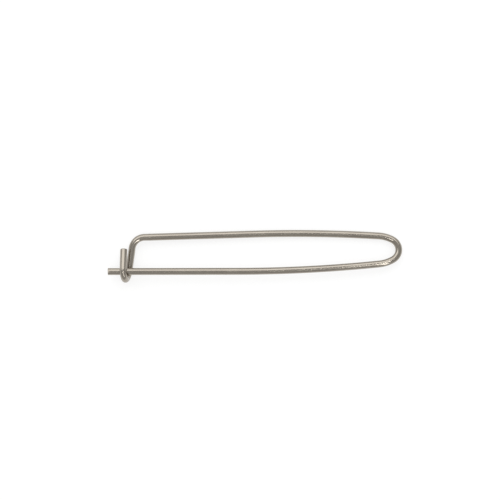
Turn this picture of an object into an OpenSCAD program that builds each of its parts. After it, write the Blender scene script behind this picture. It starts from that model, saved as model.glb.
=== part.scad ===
// Safety clip, closed.
// One length of round spring wire: a straight pin leg, a rounded nose, a back leg,
// a corner, and a short drop whose end hooks round the pin leg.
// Millimetres, +Z up. The clip lies flat, as it comes to rest on a table, with the
// pin leg along X and the origin under the middle of its box.
// Every bend radius is measured to the middle of the wire.

/* [Wire] */
// Diameter of the wire
wire_d = 1.65; // [1.2:0.05:2]
// Bevel that the cropping tool leaves round each cut end
end_bevel = 0.12; // [0.05:0.01:0.3]
// How much the wire's radius is drawn down in a bend as tight as the wire is thick
bend_thinning = 0.02; // [0.01:0.005:0.04]

/* [Loop] */
// Overall length, from the cut end of the pin leg to the outside of the nose
clip_length = 69; // [60:0.5:90]
// Distance between the pin leg and the back leg where they are furthest apart
leg_spacing = 8.95; // [8:0.05:12]
// Bend radius of the slight bow in both legs
bow_radius = 330; // [250:2:400]
// Angle that the bow turns the pin leg through
pin_bow = 5.8; // [4:0.1:6.5]
// Angle that the bow turns the back leg through
back_bow = 5.1; // [4:0.1:6.5]
// Angle at which the back leg's straight end leans in towards the pin leg
back_lean = 1.6; // [0.5:0.1:2.5]
// Bend radius of the two shoulders of the nose
shoulder_radius = 7.9; // [6:0.1:9]
// Angle that each shoulder turns through
shoulder_angle = 25; // [15:1:30]

/* [Corner and hook] */
// Distance from the cut end of the pin leg to the middle of the hook
pin_overhang = 4.45; // [3.5:0.05:8]
// Bend radius of the corner
corner_radius = 3; // [2.6:0.1:4]
// Angle that the corner turns through
corner_angle = 80; // [75:0.5:90]
// Clearance between the hook and the pin leg that it holds
hook_gap = 0.2; // [0.15:0.01:0.4]
// Angle that the hook turns through from under the pin leg to beside it
hook_angle = 94; // [85:1:105]
// Angle by which that part of the hook stands off a square crossing
hook_skew = 12.7; // [8:0.1:18]
// Straight length between the hook's two bends
hook_step = 0.15; // [0.1:0.05:0.5]
// Angle that the hook turns through from there, over the pin leg and down
curl_angle = 110; // [95:1:125]
// Angle that the wire is rolled through before that, which brings the tail back square to the pin leg
curl_roll = 12.6; // [8:0.1:18]
// Straight length of the tail
tail_length = 4.8; // [3:0.1:6]

/* [Hidden] */

wire_r = wire_d / 2;
// The hook's bends are centred on the pin leg's axis.
hook_radius = wire_d + hook_gap;

// Headings of the loop in its own plane: the pin leg runs at 0, and the back leg returns at 180 plus
// back_lean.
back_heading = 180 + back_lean;
headings = [
    0,
    pin_bow,
    pin_bow + shoulder_angle,
    back_heading - back_bow - shoulder_angle,
    back_heading - back_bow,
    back_heading
];

// How far an arc goes along the clip and across it, between two headings
function arc_along(radius, from, to) = radius * (sin(to) - sin(from));
function arc_across(radius, from, to) = radius * (cos(from) - cos(to));

// The nose gets the radius that leaves leg_spacing between the legs. The back leg is furthest out at
// heading 180.
shoulders_across = arc_across(bow_radius, headings[0], headings[1])
    + arc_across(shoulder_radius, headings[1], headings[2])
    + arc_across(shoulder_radius, headings[3], headings[4])
    + arc_across(bow_radius, headings[4], 180);
nose_radius = (leg_spacing - shoulders_across) / arc_across(1, headings[2], headings[3]);

// The pin leg's straight part takes up what is left of the overall length. The nose is furthest out at
// heading 90.
pin_straight = clip_length - wire_r
    - arc_along(bow_radius, headings[0], headings[1])
    - arc_along(shoulder_radius, headings[1], headings[2])
    - arc_along(nose_radius, headings[2], 90);

// Where the back leg's straight part starts, in the loop's plane
loop_radii = [bow_radius, shoulder_radius, nose_radius, shoulder_radius, bow_radius];
function sum(values, i = 0) = i == len(values) ? 0 : values[i] + sum(values, i + 1);
loop_bends = [0:len(loop_radii) - 1];
back_start = [
    pin_straight + sum([for (i = loop_bends) arc_along(loop_radii[i], headings[i], headings[i + 1])]),
    sum([for (i = loop_bends) arc_across(loop_radii[i], headings[i], headings[i + 1])])
];

// The hook's centre, seen from there: along the back leg, and in from it
to_hook = [pin_overhang, 0] - back_start;
hook_along = to_hook * [cos(back_heading), sin(back_heading)];
hook_inward = to_hook * [-sin(back_heading), cos(back_heading)];

// The corner is rolled until the drop passes under the pin leg by the hook's radius. The roll and the
// drop's length follow from the triangle whose longest side is hook_inward.
hook_roll = 90 + hook_skew;
hook_side = hook_radius * sin(hook_roll);
hook_reach = hook_radius * cos(hook_roll);
drop_inward = sqrt(hook_inward * hook_inward - hook_side * hook_side);
corner_roll = -atan2(hook_side, drop_inward);
corner_inward = corner_radius * (1 - cos(corner_angle));
drop_length = (drop_inward - corner_inward - hook_reach * cos(corner_angle)) / sin(corner_angle);
back_straight = hook_along - corner_radius * sin(corner_angle)
    - drop_length * cos(corner_angle) + hook_reach * sin(corner_angle);

// The bending list, from the pin leg's cut end: feed, then roll the wire, then bend it by a radius and
// an angle
bends = [
    [pin_straight - end_bevel, 0, bow_radius, pin_bow],
    [0, 0, shoulder_radius, shoulder_angle],
    [0, 0, nose_radius, headings[3] - headings[2]],
    [0, 0, shoulder_radius, shoulder_angle],
    [0, 0, bow_radius, back_bow],
    [back_straight, corner_roll, corner_radius, corner_angle],
    [drop_length, hook_roll, hook_radius, hook_angle],
    [hook_step, curl_roll, hook_radius, curl_angle],
    [tail_length - end_bevel, 0, hook_radius, 0]
];
loop_bend_count = len(loop_radii);

// A frame on the wire travels along its own Z and bends towards its own X. These matrices move it.
function fed(length) = [[1, 0, 0, 0], [0, 1, 0, 0], [0, 0, 1, length], [0, 0, 0, 1]];
function rolled(angle) = [
    [cos(angle), -sin(angle), 0, 0],
    [sin(angle), cos(angle), 0, 0],
    [0, 0, 1, 0],
    [0, 0, 0, 1]
];
function bent(radius, angle) = [
    [cos(angle), 0, sin(angle), radius * (1 - cos(angle))],
    [0, 1, 0, 0],
    [-sin(angle), 0, cos(angle), radius * sin(angle)],
    [0, 0, 0, 1]
];
function place(m) = [m[0][3], m[1][3], m[2][3]];
function axis(m, i) = [m[0][i], m[1][i], m[2][i]];

// The pin leg travels along +X and bends towards +Y.
wire_start = [[0, 0, 1, 0], [1, 0, 0, 0], [0, 1, 0, 0], [0, 0, 0, 1]];

// Frames along the wire's middle line: each bend in steps of about half a millimetre, and both cut ends
function bend_steps(bend) = max(1, ceil(bend[2] * bend[3] * PI / 180 / 0.5));
function stations(i, m) = i == len(bends) ? [m * fed(end_bevel)] :
    let (bend = bends[i])
    let (from = m * fed(bend[0]) * rolled(bend[1]))
    let (count = bend_steps(bend))
    concat(
        [for (k = [0:count - 1]) from * bent(bend[2], bend[3] * k / count)],
        stations(i + 1, from * bent(bend[2], bend[3]))
    );
wire = concat([wire_start], stations(0, wire_start * fed(end_bevel)));

// The frame where the nose ends and the back leg begins. There the loop touches the table.
function frame_after(count) = count == 0 ? wire_start * fed(end_bevel) :
    let (bend = bends[count - 1])
    frame_after(count - 1) * fed(bend[0]) * rolled(bend[1]) * bent(bend[2], bend[3]);
touch = frame_after(loop_bend_count - 1);

// The clip tips about the back leg's direction there, until the hook touches the table too.
function from_touch(m) = let (d = place(m) - place(touch)) [d * axis(touch, 0), d * axis(touch, 1)];
tips = [for (m = wire) let (d = from_touch(m)) if (d.x > wire_d) atan2(d.y, d.x)];
tip_angle = min(tips);
up = axis(touch, 1) * cos(tip_angle) - axis(touch, 0) * sin(tip_angle);
forward_flat = [1, 0, 0] - up.x * up;
forward = forward_flat / norm(forward_flat);
sideways = cross(up, forward);

// The box of the clip as it lies: a round section reaches less far along the way it faces.
directions = [forward, sideways, up];
function reach(m, d) = wire_r * sqrt(max(0, 1 - pow(axis(m, 2) * d, 2)));
lowest = [for (d = directions) min([for (m = wire) place(m) * d - reach(m, d)])];
highest = [for (d = directions) max([for (m = wire) place(m) * d + reach(m, d)])];
rest = [
    concat(forward, -(lowest.x + highest.x) / 2),
    concat(sideways, -(lowest.y + highest.y) / 2),
    concat(up, -lowest.z),
    [0, 0, 0, 1]
];

// A bend is drawn as one smooth arc, in chords of about half a millimetre. Bending stretches the wire, so
// the tighter the bend, the thinner its section.
section_sides = 48;
function arc_sides(radius) = max(section_sides, ceil(2 * PI * radius / 0.5));
function bend_section(radius) = wire_r - bend_thinning * sqrt(wire_d / radius);

// Moves to the frame at the end of a bend
module past_bend(radius, angle)
    translate([radius, 0, 0]) rotate([0, angle, 0]) translate([-radius, 0, 0]) children();

module straight(length) {
    if (length > 0) cylinder(h = length, r = wire_r, $fn = section_sides);
    translate([0, 0, length]) children();
}

// The arc is drawn a little long and cropped in the frame that comes next, so the two faces meet exactly.
module bend(radius, angle) {
    spare_angle = wire_r / radius * 180 / PI;
    crop = 2 * wire_d;
    if (angle > 0)
        difference() {
            translate([radius, 0, 0])
                rotate([90, 0, 180])
                    rotate_extrude(angle = angle + spare_angle, $fn = arc_sides(radius))
                        translate([radius, 0]) circle(r = bend_section(radius), $fn = section_sides);
            past_bend(radius, angle) translate([-crop / 2, -crop / 2, 0]) cube(crop);
        }
    past_bend(radius, angle) children();
}

// A cut end, bevelled at its rim. The wire goes on from its wide side.
module cut_end() {
    cylinder(h = end_bevel, r1 = wire_r - end_bevel, r2 = wire_r, $fn = section_sides);
    translate([0, 0, end_bevel]) children();
}

// Follows the bending list from one row to the end. The last row ends in the tail's cut end.
module follow(i) {
    row = bends[i];
    straight(row[0]) rotate([0, 0, row[1]]) bend(row[2], row[3])
        if (i < len(bends) - 1) follow(i + 1);
        else translate([0, 0, end_bevel]) rotate([180, 0, 0]) cut_end();
}

module clip_wire()
    color([0.66, 0.63, 0.58])
        multmatrix(rest) multmatrix(wire_start) cut_end() follow(0);

clip_wire();
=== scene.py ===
# %% [markdown]
# # A safety clip, bent from one length of spring wire
#
# The real clip is a length of hard drawn wire, a little thicker than the wire of a large paper clip. A bending
# machine feeds it, rolls it and bends it, eight times, and crops it at both ends. Nothing is welded, riveted or
# painted on, so all that makes it look real is in the wire itself: its bends, its cropped ends and its skin.
#
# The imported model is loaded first. It holds the clip's true place and size, and all that follows is measured
# against it.

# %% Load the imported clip
import math

import bmesh
import bpy
from mathutils import Matrix, Vector
from mathutils.bvhtree import BVHTree


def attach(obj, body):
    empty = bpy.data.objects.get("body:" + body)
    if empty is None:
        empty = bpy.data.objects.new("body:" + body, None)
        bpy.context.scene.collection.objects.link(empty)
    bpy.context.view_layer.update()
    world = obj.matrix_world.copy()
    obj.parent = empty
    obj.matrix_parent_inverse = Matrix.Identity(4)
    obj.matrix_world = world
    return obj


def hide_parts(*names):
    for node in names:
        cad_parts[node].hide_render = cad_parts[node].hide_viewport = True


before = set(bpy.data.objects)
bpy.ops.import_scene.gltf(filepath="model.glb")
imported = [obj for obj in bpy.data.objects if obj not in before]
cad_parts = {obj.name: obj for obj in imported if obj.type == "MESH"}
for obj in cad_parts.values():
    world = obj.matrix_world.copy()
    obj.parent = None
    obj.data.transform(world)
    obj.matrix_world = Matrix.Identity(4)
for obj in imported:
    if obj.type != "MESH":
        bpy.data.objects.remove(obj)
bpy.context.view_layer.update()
MM = 0.001


# %% [markdown]
# ## The camera
#
# The photograph was taken straight down on the table, from far enough away that the clip shows hardly any
# perspective. A long lens at 600 mm does the same. A camera with no turn already looks down, along -Z, so it only
# needs a place, a field of view and a tenth of a degree of roll.

# %% Look straight down from 600 mm
CAMERA_X, CAMERA_Y, CAMERA_HEIGHT = -1.211 * MM, 1.471 * MM, 600 * MM
CAMERA_ROLL = -0.0018  # radians
FIELD_OF_VIEW = math.radians(11.1885)

lens = bpy.data.cameras.new("camera_above")
lens.lens_unit = "FOV"
lens.angle = FIELD_OF_VIEW
camera = bpy.data.objects.new("camera_above", lens)
camera.location = (CAMERA_X, CAMERA_Y, CAMERA_HEIGHT)
camera.rotation_euler = (0, 0, CAMERA_ROLL)
bpy.context.scene.collection.objects.link(camera)
bpy.context.scene.camera = camera
print("the picture is", round(2 * CAMERA_HEIGHT * math.tan(FIELD_OF_VIEW / 2) / MM, 1), "mm wide at the table")

# %% [markdown]
# ## One way to write a material
#
# Shader maths is easier to read as maths. This small class wraps one output socket, and each operator adds the
# Math node that does it. The reflected forms are there so that `1 - mask` works as well as `mask - 1`.


# %% A socket that can be added, subtracted and multiplied
class Value:
    def __init__(self, nodes, socket):
        self.nodes = nodes
        self.socket = socket

    def calc(self, operation, first, second):
        return self.nodes.add("ShaderNodeMath", {"operation": operation}, first, second)

    def __add__(self, other):
        return self.calc("ADD", self, other)

    def __sub__(self, other):
        return self.calc("SUBTRACT", self, other)

    def __rsub__(self, other):
        return self.calc("SUBTRACT", other, self)

    def __mul__(self, other):
        return self.calc("MULTIPLY", self, other)

    __radd__ = __add__
    __rmul__ = __mul__

    def between(self, low, high):
        """0 where the value is under low, 1 where it is over high, and a soft step from one to the other."""
        return self.nodes.add("ShaderNodeMapRange", {"interpolation_type": "SMOOTHSTEP"}, self, low, high)


# %% [markdown]
# Every node comes from one method. It takes the node's type, its settings, and then the values or links of its
# sockets, by place or by name. A place that is given None keeps what it has.


# %% A material's nodes, made by one method
MIX_SOCKETS_OF_OTHER_TYPES = [None] * 5


class Nodes:
    def __init__(self, material):
        material.use_nodes = True
        self.tree = material.node_tree
        self.tree.nodes.clear()

    def add(self, kind, settings=None, *values, output=0, **named):
        node = self.tree.nodes.new(kind)
        for name, setting in (settings or {}).items():
            setattr(node, name, setting)
        for place, value in enumerate(values):
            self.set(node.inputs[place], value)
        for name, value in named.items():
            self.set(node.inputs[name.replace("_", " ")], value)
        return Value(self, node.outputs[output]) if node.outputs else None

    def set(self, socket, value):
        if isinstance(value, Value):
            self.tree.links.new(value.socket, socket)
        elif value is not None:
            socket.default_value = value

    def mix(self, factor, first, second):
        """The first colour where the factor is 0, and the second where it is 1."""
        values = (factor, *MIX_SOCKETS_OF_OTHER_TYPES, first, second)
        return self.add("ShaderNodeMix", {"data_type": "RGBA"}, *values, output=2)


# %% [markdown]
# ## The table and the light
#
# The clip lies on a plain white table. The table is white to the camera and to what the steel reflects, and it
# still takes the clip's soft shadow.

# %% The table
TABLE_SIZE = 2.0
TABLE_DIFFUSE = 0.35
TABLE_GLOW = 0.72

bench = bmesh.new()
bmesh.ops.create_grid(bench, x_segments=1, y_segments=1, size=TABLE_SIZE / 2)
table_mesh = bpy.data.meshes.new("table")
bench.to_mesh(table_mesh)
bench.free()
table = bpy.data.objects.new("table", table_mesh)
bpy.context.scene.collection.objects.link(table)

table_paper = bpy.data.materials.new("table_paper")
nodes = Nodes(table_paper)
camera_ray = nodes.add("ShaderNodeLightPath", output="Is Camera Ray")
glossy_ray = nodes.add("ShaderNodeLightPath", output="Is Glossy Ray")
through_ray = nodes.add("ShaderNodeLightPath", output="Is Transmission Ray")
seen = camera_ray + glossy_ray + through_ray
lit = nodes.add("ShaderNodeBsdfDiffuse", Color=(TABLE_DIFFUSE, TABLE_DIFFUSE, TABLE_DIFFUSE, 1))
glow = nodes.add("ShaderNodeEmission", Color=(1, 1, 1, 1), Strength=seen * TABLE_GLOW)
nodes.add("ShaderNodeOutputMaterial", Surface=nodes.add("ShaderNodeAddShader", None, lit, glow))
table_mesh.materials.append(table_paper)
print("table:", TABLE_SIZE, "m square, at", TABLE_GLOW, "of white before the lamps")

# %% [markdown]
# Smooth round wire mirrors its surroundings, squeezed into lines, so the lamps are placed by what the photograph
# shows in the wire. Each leg is bright along its far side and dark along the near one: that is a large soft light
# on the far side. The bends carry short bright spots that the straight legs don't, so those lights are small and
# stand beside the middle, where a straight leg doesn't mirror them. A narrow strip on the near side gives the spot
# inside the corner.

# %% The lamps
LAMP_DISTANCE = 3.0


def soft_light(name, azimuth, from_above, width, depth, level):
    """A lamp that faces the clip and shines with an even level.

    Azimuth is counted from the right towards the far side, and from_above from straight up, in degrees. The
    width and depth are those of a lamp a metre away.
    """
    turn, tip = math.radians(azimuth), math.radians(from_above)
    direction = Vector((math.cos(turn) * math.sin(tip), math.sin(turn) * math.sin(tip), math.cos(tip)))
    lamp = bpy.data.lights.new(name, "AREA")
    lamp.shape = "RECTANGLE"
    lamp.size, lamp.size_y = width * LAMP_DISTANCE, depth * LAMP_DISTANCE
    lamp.energy = level * math.pi * lamp.size * lamp.size_y
    holder = bpy.data.objects.new(name, lamp)
    holder.location = direction * LAMP_DISTANCE
    holder.rotation_euler = direction.to_track_quat("Z", "Y").to_euler()
    bpy.context.scene.collection.objects.link(holder)
    print(name, "shines at", level, "from", [round(part * LAMP_DISTANCE, 2) for part in direction])


soft_light("far_light", azimuth=102, from_above=48, width=1.59, depth=0.93, level=1.25)
soft_light("right_spot", azimuth=12, from_above=9.7, width=0.12, depth=0.09, level=13.0)
soft_light("left_spot", azimuth=236, from_above=18, width=0.12, depth=0.09, level=13.0)
soft_light("near_strip", azimuth=297, from_above=40, width=0.12, depth=0.74, level=4.2)

# %% [markdown]
# The rest of the room gives the wire its grey. A world of one even colour does that, because the photograph shows
# nothing else mirrored in the wire. The view transform is Standard, so colours come out as they are written.

# %% The room
ROOM_LEVEL = 0.52

world = bpy.data.worlds.new("room")
bpy.context.scene.world = world
nodes = Nodes(world)
sky = nodes.add("ShaderNodeBackground", Color=(1, 1, 1, 1), Strength=ROOM_LEVEL)
nodes.add("ShaderNodeOutputWorld", Surface=sky)
bpy.context.scene.view_settings.view_transform = "Standard"
print("the room shines at", ROOM_LEVEL)

# %% [markdown]
# ## The wire
#
# A bending machine reads a list: feed so much wire, roll it, bend it by a radius and an angle. The clip is drawn
# the same way. A ring of points stands for the wire's section, and each row of the list drives it: a feed
# extrudes the ring along the wire, and a bend spins it round the bend's axis. A curve with a round bevel would be
# quicker, but it can't press the wire flat inside a bend or give the ends their cropped faces.
#
# The list repeats the clip's own sizes, in millimetres and degrees. The first ring is placed by the wire's
# three directions at its cut end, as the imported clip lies.

# %% The bending list
WIRE_RADIUS = 0.825
BENDING_LIST = (
    # feed, roll, bend radius, bend angle
    (30.2799, 0, 330, 5.8),  # the straight pin leg, then its slight bow
    (0, 0, 7.9, 25),  # first shoulder of the nose
    (0, 0, 2.66359, 120.7),  # the nose
    (0, 0, 7.9, 25),  # second shoulder
    (0, 0, 330, 5.1),  # the back leg's bow
    (25.6171, -13.0559, 3, 80),  # the back leg, then the corner
    (5.457, 102.7, 1.85, 94),  # the drop, then the hook's bend from under the pin leg to beside it
    (0.15, 12.6, 1.85, 110),  # the bend over the pin leg and down
    (4.8, 0, 0, 0),  # the tail
)

start_place = Vector((-34.4908, -3.51258, 2.67637))
inward = Vector((-0.0014044, 0.988452, -0.151528))
upward = Vector((0.00916082, 0.151534, 0.98841))
travel = Vector((0.999957, 0, -0.00926785))
start_pose = Matrix((inward, upward, travel)).transposed().to_4x4()
start_pose.translation = start_place
print("rows in the bending list:", len(BENDING_LIST))

# %% [markdown]
# Extruding the last ring's edges makes the next ring, and a transform moves that one on. The ring's own pose moves
# with it, so each feed and each bend starts where the last one ended.
#
# Each ring remembers how far along the wire it is and how the wire is bent there: an arrow in the ring's own plane
# that points to the inside of the bend and is longer the tighter the bend is. The points carry their place round
# the wire with them, because extruding copies it.

# %% A ring of wire that can be fed and bent
SIDES = 56
STRAIGHT = Vector((0, 0))

wire = bmesh.new()
place_layer = wire.verts.layers.float_vector.new("wire_place")
bend_layer = wire.verts.layers.float.new("bend")


class WireEnd:
    """The ring that the machine holds, and the pose it stands in, whose Z is the way the wire runs."""

    def __init__(self, pose):
        ring = bmesh.ops.create_circle(wire, cap_ends=True, radius=WIRE_RADIUS, segments=SIDES)["verts"]
        for vert in ring:
            vert[place_layer] = vert.co
        bmesh.ops.transform(wire, matrix=pose, verts=ring)
        self.edges = list(ring[0].link_faces[0].edges)
        self.pose = pose
        self.along = 0.0
        self.rings = []
        self.remember(ring, STRAIGHT)

    def remember(self, ring, arrow):
        for vert in ring:
            vert[place_layer].z = self.along
        self.rings.append((ring, self.pose.translation.copy(), self.along, arrow))

    def grow(self, move, length, arrow):
        made = bmesh.ops.extrude_edge_only(wire, edges=self.edges)["geom"]
        ring = [part for part in made if isinstance(part, bmesh.types.BMVert)]
        self.edges = [part for part in made if isinstance(part, bmesh.types.BMEdge)]
        bmesh.ops.transform(wire, matrix=move, verts=ring)
        self.pose = move @ self.pose
        self.along += length
        self.remember(ring, arrow)

    def feed(self, length, steps):
        axis = self.pose.col[2].to_3d()
        for _ in range(steps):
            self.grow(Matrix.Translation(axis * length / steps), length / steps, STRAIGHT)

    def bend(self, radius, angle, roll, steps):
        """Spins the ring round an axis that stands radius away on the side that roll picks."""
        for _ in range(steps):
            turn = angle / steps
            side = self.pose @ Vector((math.cos(roll), math.sin(roll), 0, 0))
            axis = self.pose @ Vector((-math.sin(roll), math.cos(roll), 0, 0))
            centre = self.pose.translation + side.to_3d() * radius
            to_centre = Matrix.Translation(centre)
            move = to_centre @ Matrix.Rotation(turn, 4, axis.to_3d()) @ to_centre.inverted()
            self.grow(move, radius * turn, Vector((math.cos(roll), math.sin(roll))) / radius)


print("a ring has", SIDES, "points")

# %% [markdown]
# The rings stand close enough for a smooth bend: a few degrees apart round a tight one, and about half a
# millimetre apart elsewhere. The roll adds up along the list, as it does on the machine, which never rolls the
# wire back.

# %% Follow the bending list
LENGTH_PER_RING = 0.6
ANGLE_PER_RING = math.radians(3.5)

end = WireEnd(start_pose)
roll = 0.0
for feed, roll_by, radius, degrees in BENDING_LIST:
    roll += math.radians(roll_by)
    angle = math.radians(degrees)
    if feed:
        end.feed(feed, math.ceil(feed / LENGTH_PER_RING))
    if angle:
        end.bend(radius, angle, roll, math.ceil(max(angle / ANGLE_PER_RING, radius * angle / LENGTH_PER_RING)))
WIRE_LENGTH = end.along
bmesh.ops.edgeloop_fill(wire, edges=end.edges)
tail_end = [round(part, 2) for part in end.pose.translation]
print("wire length", round(WIRE_LENGTH, 1), "mm in", len(end.rings), "rings; tail end at", tail_end)

# %% [markdown]
# ## What bending does to the section
#
# Round a bend the wire is drawn out, so it gets a little thinner, and its inside is pressed flat against the
# forming pin. Both are a few hundredths of a millimetre, and they are why a real bend catches the light in
# broader patches than a swept tube does. The arrows are averaged along the wire first, so that nothing steps where
# one bend runs into the next.

# %% Draw down and press the bends
DRAW_DOWN = 0.02  # in a bend as tight as the wire is thick
PRESSED_FLAT = 0.03
FULLY_PRESSED_RADIUS = 1.6
FLAT_NARROWNESS = 12
BLEND_LENGTH = 0.8


def arrow_near(along):
    near = [arrow for _, _, other, arrow in end.rings if abs(other - along) <= BLEND_LENGTH]
    return sum(near, STRAIGHT) / len(near)


deepest = 0
for ring, centre, along, _ in end.rings:
    arrow = arrow_near(along)
    drawn = DRAW_DOWN * math.sqrt(2 * WIRE_RADIUS * arrow.length)
    pressed = PRESSED_FLAT * min(1, FULLY_PRESSED_RADIUS * arrow.length)
    deepest = max(deepest, drawn + pressed)
    for vert in ring:
        place = vert[place_layer]
        turn = math.atan2(place.y, place.x) - math.atan2(arrow.y, arrow.x)
        inside = max(0, math.cos(turn)) ** FLAT_NARROWNESS
        vert.co += (centre - vert.co) / WIRE_RADIUS * (drawn + pressed * inside)
        vert[bend_layer] = WIRE_RADIUS * arrow.length * math.cos(turn)
print("inside a bend, the wire gives way by up to", round(deepest, 3), "mm")

# %% [markdown]
# ## The cropped ends
#
# Cropping blades leave a flat face and round the rim over. Bevelling the rim edge gives that rollover, and two
# small insets give the face the shallow dish that the blades leave. The two cut faces are the only ones with as
# many corners as a ring has points.

# %% Crop both ends
ROLLOVER = 0.12
DISH_RING = 0.16
DISH_STEPS = (0.01, 0.015)

cut_layer = wire.verts.layers.float.new("cut")


def cut_faces():
    return [face for face in wire.faces if len(face.verts) == SIDES]


rims = [edge for face in cut_faces() for edge in face.edges]
bmesh.ops.bevel(
    wire, geom=rims, affect="EDGES", offset=ROLLOVER, segments=4, profile=0.5, material=-1, clamp_overlap=True
)
wire.normal_update()
bmesh.ops.recalc_face_normals(wire, faces=wire.faces)
caps = cut_faces()
for step in DISH_STEPS:
    bmesh.ops.inset_region(wire, faces=caps, thickness=DISH_RING, depth=-step, use_even_offset=True)
for cap in caps:
    for vert in cap.verts:
        vert[cut_layer] = 1
        for edge in vert.link_edges:
            edge.other_vert(vert)[cut_layer] = 1
print("faces at the two cut ends:", len(caps), "of", len(wire.faces))

# %% [markdown]
# ## A map along the wire
#
# Marks from the drawing die run along the wire for its whole length, so the picture map is a strip: once round the
# wire across it, and from end to end along it. Where a face crosses the seam, its far corners are moved on by one
# whole turn. The two cut faces are small discs in the strip's margins.

# %% Map round and along
MARGIN = 0.02
DISC_SCALE = 0.01
DISC_ACROSS = (0.25, 0.75)
DISC_ALONG = (MARGIN / 2, 1 - MARGIN / 2)

strip = wire.loops.layers.uv.new("OFBake")


def map_disc(face):
    far = face.loops[0].vert[place_layer].z > WIRE_LENGTH / 2
    for loop in face.loops:
        place = loop.vert[place_layer]
        loop[strip].uv = (DISC_ACROSS[far] + DISC_SCALE * place.x, DISC_ALONG[far] + DISC_SCALE * place.y)


def map_side(face):
    for loop in face.loops:
        place = loop.vert[place_layer]
        across = math.atan2(place.y, place.x) / math.tau % 1
        loop[strip].uv = (across, MARGIN + (1 - 2 * MARGIN) * place.z / WIRE_LENGTH)
    corners = [loop[strip].uv for loop in face.loops]
    if max(uv.x for uv in corners) - min(uv.x for uv in corners) > 0.5:
        for uv in corners:
            if uv.x < 0.5:
                uv.x += 1


for face in wire.faces:
    if any(vert[cut_layer] for vert in face.verts):
        map_disc(face)
    else:
        map_side(face)
print("mapped", len(wire.faces), "faces")

# %% [markdown]
# The wire was bent in millimetres. It becomes an object in metres, at the origin, with its place in its mesh and
# smooth shading all over. The rollover is drawn in four steps, so it stays crisp without any edge marked sharp.

# %% Make the piece
for face in wire.faces:
    face.smooth = True
bmesh.ops.scale(wire, vec=(MM, MM, MM), verts=wire.verts)
bent_mesh = bpy.data.meshes.new("bent_wire")
wire.to_mesh(bent_mesh)
wire.free()
bent_wire = bpy.data.objects.new("bent_wire", bent_mesh)
bpy.context.scene.collection.objects.link(bent_wire)
print("bent wire:", len(bent_mesh.vertices), "points,", len(bent_mesh.polygons), "faces")

# %% [markdown]
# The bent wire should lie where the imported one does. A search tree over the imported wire's faces tells how far each
# point is from it. Only the pressed bends and the dished ends should differ, by a few hundredths of a millimetre.

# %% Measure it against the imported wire
packed_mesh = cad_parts["clip_wire"].data
packed_faces = BVHTree.FromPolygons(
    [vert.co for vert in packed_mesh.vertices], [face.vertices for face in packed_mesh.polygons]
)
distances = [packed_faces.find_nearest(vert.co)[3] for vert in bent_mesh.vertices]
print("furthest from the packed wire:", round(max(distances) / MM, 3), "mm")

# %% [markdown]
# ## Drawn spring steel
#
# The wire was pulled through a die, so its colour and its very shallow scratches run in fine lines along it. Noise
# makes such lines when it is read in the wire's own place, which the points carry, and drawn out along the wire.
# Noise in Object coordinates would run across the legs and turn at every bend.

# %% Lines along the wire
drawn_steel = bpy.data.materials.new("drawn_steel")
nodes = Nodes(drawn_steel)
place = nodes.add("ShaderNodeAttribute", {"attribute_name": "wire_place"}, output="Vector")
bend = nodes.add("ShaderNodeAttribute", {"attribute_name": "bend"}, output="Fac")
cut = nodes.add("ShaderNodeAttribute", {"attribute_name": "cut"}, output="Fac")


def lines(scale, along_scale, detail):
    """Noise of so many marks to a millimetre across the wire, and along_scale times as many along it."""
    drawn_out = nodes.add("ShaderNodeMapping", None, place, Scale=(1, 1, along_scale))
    return nodes.add("ShaderNodeTexNoise", None, drawn_out, Scale=scale, Detail=detail)


die_lines = lines(scale=9.0, along_scale=0.004, detail=2.0)
fine_lines = lines(scale=28.0, along_scale=0.01, detail=2.0)
patches = lines(scale=0.9, along_scale=0.22, detail=3.0)
print("nodes that draw the lines:", len(nodes.tree.nodes))

# %% [markdown]
# The steel is bright, with a faint warm tint, in patches a few millimetres long, and darker where a die line is
# deep. Between the lines it is smooth enough to carry a bright spot. The forming pins burnish the inside of a
# bend, stretching dulls its outside, and the cropped faces are torn and dull.

# %% Colour, gloss and scratches
DARK_PATCH, PALE_PATCH = (0.355, 0.320, 0.275, 1), (0.385, 0.350, 0.300, 1)
DEEP_LINE, DEEP_LINES_SHOW = (0.28, 0.245, 0.205, 1), 0.3
CROPPED_FACE, CROPPED_FACES_SHOW = (0.24, 0.225, 0.21, 1), 0.6
SMOOTH, PATCHES_DULL, LINES_DULL = 0.13, 0.03, 0.01
PINS_BURNISH, STRETCHING_DULLS, CROPPING_DULLS = 0.03, 0.05, 0.25
SCRATCH_DEPTH, DIE_LINE_SHARE, FINE_LINE_SHARE = 0.0006 * MM, 0.15, 0.3

tint = nodes.mix(patches.between(0.35, 0.65), DARK_PATCH, PALE_PATCH)
tint = nodes.mix(die_lines.between(0.52, 0.75) * DEEP_LINES_SHOW, tint, DEEP_LINE)
tint = nodes.mix(cut * CROPPED_FACES_SHOW, tint, CROPPED_FACE)
burnished = bend.between(0.12, 0.4)
stretched = (-1 * bend).between(0.12, 0.4)
drawn_skin = SMOOTH + PATCHES_DULL * patches + LINES_DULL * fine_lines
rough = drawn_skin - PINS_BURNISH * burnished + STRETCHING_DULLS * stretched + CROPPING_DULLS * cut
height = die_lines * DIE_LINE_SHARE + fine_lines * FINE_LINE_SHARE
scratches = nodes.add("ShaderNodeBump", None, Strength=0.3, Distance=SCRATCH_DEPTH, Height=height)
steel = nodes.add(
    "ShaderNodeBsdfPrincipled", None, Base_Color=tint, Metallic=1.0, Roughness=rough, Normal=scratches
)
nodes.add("ShaderNodeOutputMaterial", Surface=steel)
bent_mesh.materials.append(drawn_steel)
print("nodes in the steel:", len(nodes.tree.nodes))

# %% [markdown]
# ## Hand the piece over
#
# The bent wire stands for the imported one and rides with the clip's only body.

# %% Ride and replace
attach(bent_wire, "root")
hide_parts("clip_wire")
